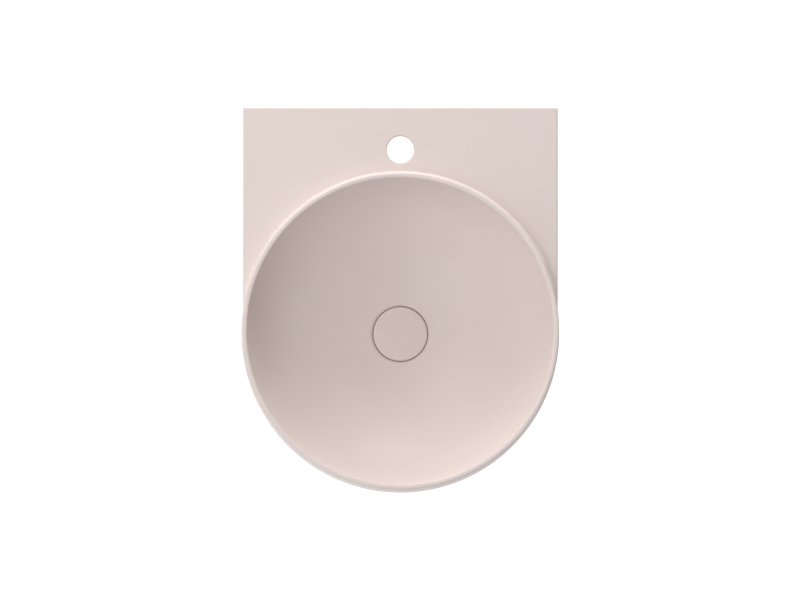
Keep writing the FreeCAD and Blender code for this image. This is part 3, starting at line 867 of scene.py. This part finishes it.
class BASIN_OT_waste(bpy.types.Operator):
    """Turn the plated waste with its funnel, spider and pipe thread"""

    bl_idname = "basin.waste"
    bl_label = "Turn the waste"

    def execute(self, context):
        sizes = context.scene.basin_sizes
        crest = sizes.shank_radius
        core = crest - sizes.pipe_depth
        bore = sizes.waste_bore
        top = waste_high.z
        end = waste_low.z
        flange = waste_high.x - AXIS.x
        flange_bottom = top - 0.003
        throat = 0.019
        throat_end = top - 0.0168
        relief_top = end + 0.028
        relief_bottom = end + 0.026
        relief_core = core - 0.0002
        flange_side = [
            (flange * 0.79, top - 0.0001),
            (flange * 0.93, top),
            (flange - 0.0004, top - 0.0004),
            (flange, top - 0.0013),
            (flange - 0.0003, flange_bottom),
            (crest, flange_bottom),
        ]
        shank_side = [
            (crest, washer_top + 0.002),
            (core, washer_top + 0.0005),
            (core, relief_top),
            (relief_core, relief_top - 0.0003),
            (relief_core, relief_bottom + 0.0003),
            (core, relief_bottom),
            (core, end + 0.0014),
            (core - 0.0006, end),
        ]
        bore_side = [
            (bore, end),
            (bore, throat_end),
            (throat - 0.0002, throat_end + 0.0008),
            (throat, throat_end + 0.0016),
            (throat, top - 0.0032),
            (throat + 0.0006, top - 0.0024),
            (throat + 0.0035, top - 0.0011),
        ]
        shell = turn_on_lathe(flange_side + shank_side + bore_side, sides=96)
        soften(shell, sizes.edge_softness)
        tail_start = end + 0.0026
        tail_end = relief_bottom - 0.0008
        shank_start = relief_top + 0.0008
        depth = sizes.pipe_depth
        pitch = sizes.pipe_pitch
        tail = thread_ridge(crest, depth, pitch, tail_start, tail_end, steps=72)
        shank = thread_ridge(crest, depth, pitch, shank_start, washer_top, steps=72)
        spider_top = spider_bottom + 0.005
        hub_radius = 0.0085
        hole = sizes.stud_radius + 0.0001
        hub = turn_on_lathe(
            [
                (hub_radius, spider_top),
                (hub_radius, spider_bottom),
                (hole, spider_bottom),
                (hole, spider_top),
            ],
            sides=48,
        )
        soften(hub, sizes.edge_softness)
        sunk = 0.0004
        spoke_width = 0.0035
        spoke = spider_spoke(
            hub_radius - sunk, bore + sunk, spoke_width, spider_bottom, spider_top
        )
        soften(spoke, sizes.edge_softness)
        spokes = copied_round(spoke, count=3)
        piece = joined_piece("waste_fitting", [shell, tail, shank, hub] + spokes)
        chrome = plated_chrome(context.scene.basin_colours)
        hand_over(piece, "basin", "waste_body", chrome)
        dress("back_nut", chrome)
        return {"FINISHED"}


class BASIN_OT_cartridge(bpy.types.Operator):
    """Turn the cartridge's cap with its threaded stud, wind its spring and finish the brass"""

    bl_idname = "basin.cartridge"
    bl_label = "Fit the cartridge"

    def execute(self, context):
        sizes = context.scene.basin_sizes
        brass = turned_brass(context.scene.basin_colours)
        crest = sizes.stud_radius
        thread_share = 0.55
        depth = sizes.stud_pitch * thread_share
        core = crest - depth
        plate = stud_high.x - AXIS.x
        plate_thickness = 0.003
        shoulder = stud_high.z - plate_thickness
        end = stud_low.z
        cap = turn_on_lathe(
            [
                (plate, stud_high.z),
                (plate, shoulder),
                (crest, shoulder),
                (crest, shoulder - 0.0012),
                (core, shoulder - 0.0018),
                (core, end + 0.0007),
                (core - 0.0006, end),
            ],
            sides=48,
            bored=False,
        )
        soften(cap, sizes.edge_softness / 2)
        start = end + 0.0011
        stop = shoulder - 0.0014
        ridge = thread_ridge(crest, depth, sizes.stud_pitch, start, stop, steps=36)
        piece = joined_piece("stud_cap", [cap, ridge])
        hand_over(piece, "basin", "cartridge_cap", brass)
        for node in ("cartridge_housing", "spindle", "jam_nut", "stud_nut"):
            dress(node, brass)
        wire = sizes.spring_wire
        reach = (spring_high.x - spring_low.x) / 2
        coil = wound_spring(reach, wire, spring_low.z, spring_high.z, turns=5)
        spring = joined_piece("wound_spring", [coil])
        spring.data.materials.clear()
        spring.data.materials.append(spring_steel())
        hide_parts("return_spring")
        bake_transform(spring)
        return {"FINISHED"}


class BASIN_OT_seals(bpy.types.Operator):
    """Finish the rubber seals and the bonding pad"""

    bl_idname = "basin.seals"
    bl_label = "Finish the seals"

    def execute(self, context):
        rubber = seal_rubber(context.scene.basin_colours)
        for node in ("flange_gasket", "cone_seal", "plug_seal", "spindle_wiper"):
            dress(node, rubber)
        dress("cover_pad", bonding_silicone())
        return {"FINISHED"}


class BASIN_OT_mouldings(bpy.types.Operator):
    """Finish the moulded wall bushes, slip washer, plug carrier and latch rotor"""

    bl_idname = "basin.mouldings"
    bl_label = "Finish the mouldings"

    def execute(self, context):
        colours = context.scene.basin_colours
        nylon = moulded_nylon(colours)
        acetal = moulded_acetal(colours)
        for node in ("fixing_bushes", "slip_washer"):
            dress(node, nylon)
        for node in ("plug_carrier", "latch_rotor"):
            dress(node, acetal)
        return {"FINISHED"}


class BASIN_OT_studio(bpy.types.Operator):
    """Set up the glowing floor with its painted pool of light, the soft lights and the camera"""

    bl_idname = "basin.studio"
    bl_label = "Set up the studio"

    def execute(self, context):
        settings = context.scene.basin_studio
        scene = context.scene
        clear_selection()
        bpy.ops.mesh.primitive_plane_add(size=40, location=(0, 0, settings.floor_height))
        floor = bpy.context.object
        floor.name = "studio_floor"
        paint = Finish("studio_floor", roughness=0.9, Specular_IOR_Level=0.1)
        haze = paint.noise(grain=0.8, detail=2.0)
        paint.colour(paint.blend(haze, grey(0.69), grey(0.72)))
        # Painted pool of light: the floor glows, brightest round a spot beside the bowl's axis,
        # and its glow lights the basin from below.
        glow_pool = 1 - paint.from_axis(*settings.glow_pool_shift).above(
            settings.glow_pool_radius, softness=0.6
        )
        paint.glow(paint.blend(glow_pool, grey(0.3), grey(1.0)), strength=0.6)
        floor.data.materials.append(paint.material)
        scene.world = bpy.data.worlds.new("studio_sky")
        scene.world.use_nodes = True
        sky = scene.world.node_tree.nodes["Background"]
        sky.inputs[0].default_value = (1, 1, 1, 1)
        sky.inputs[1].default_value = settings.sky
        for light in LIGHTS:
            hang_light(settings, *light)
        place_camera(scene, settings)
        scene.view_settings.view_transform = "Standard"
        return {"FINISHED"}


class BASIN_PT_panel(bpy.types.Panel):
    """Lists the basin's sizes, colours and steps"""

    bl_idname = "BASIN_PT_panel"
    bl_label = "Wall basin"
    bl_space_type = "VIEW_3D"
    bl_region_type = "UI"
    bl_category = "Wall basin"

    def draw(self, context):
        layout = self.layout
        for group in (
            context.scene.basin_sizes,
            context.scene.basin_colours,
            context.scene.basin_studio,
        ):
            box = layout.box()
            for label in group.bl_rna.properties.keys():
                if label not in ("rna_type", "name"):
                    box.prop(group, label)
        for step in STEPS:
            layout.operator(step.bl_idname)


STEPS = (
    BASIN_OT_glaze,
    BASIN_OT_waste,
    BASIN_OT_cartridge,
    BASIN_OT_seals,
    BASIN_OT_mouldings,
    BASIN_OT_studio,
)
CLASSES = (FittingSizes, FinishColours, StudioSettings) + STEPS + (BASIN_PT_panel,)


def register():
    for item in CLASSES:
        bpy.utils.register_class(item)
    bpy.types.Scene.basin_sizes = bpy.props.PointerProperty(type=FittingSizes)
    bpy.types.Scene.basin_colours = bpy.props.PointerProperty(type=FinishColours)
    bpy.types.Scene.basin_studio = bpy.props.PointerProperty(type=StudioSettings)


def unregister():
    del bpy.types.Scene.basin_studio
    del bpy.types.Scene.basin_colours
    del bpy.types.Scene.basin_sizes
    for item in reversed(CLASSES):
        bpy.utils.unregister_class(item)


def main():
    register()
    bpy.ops.basin.glaze()
    bpy.ops.basin.waste()
    bpy.ops.basin.cartridge()
    bpy.ops.basin.seals()
    bpy.ops.basin.mouldings()
    bpy.ops.basin.studio()


if __name__ == "__main__":
    main()
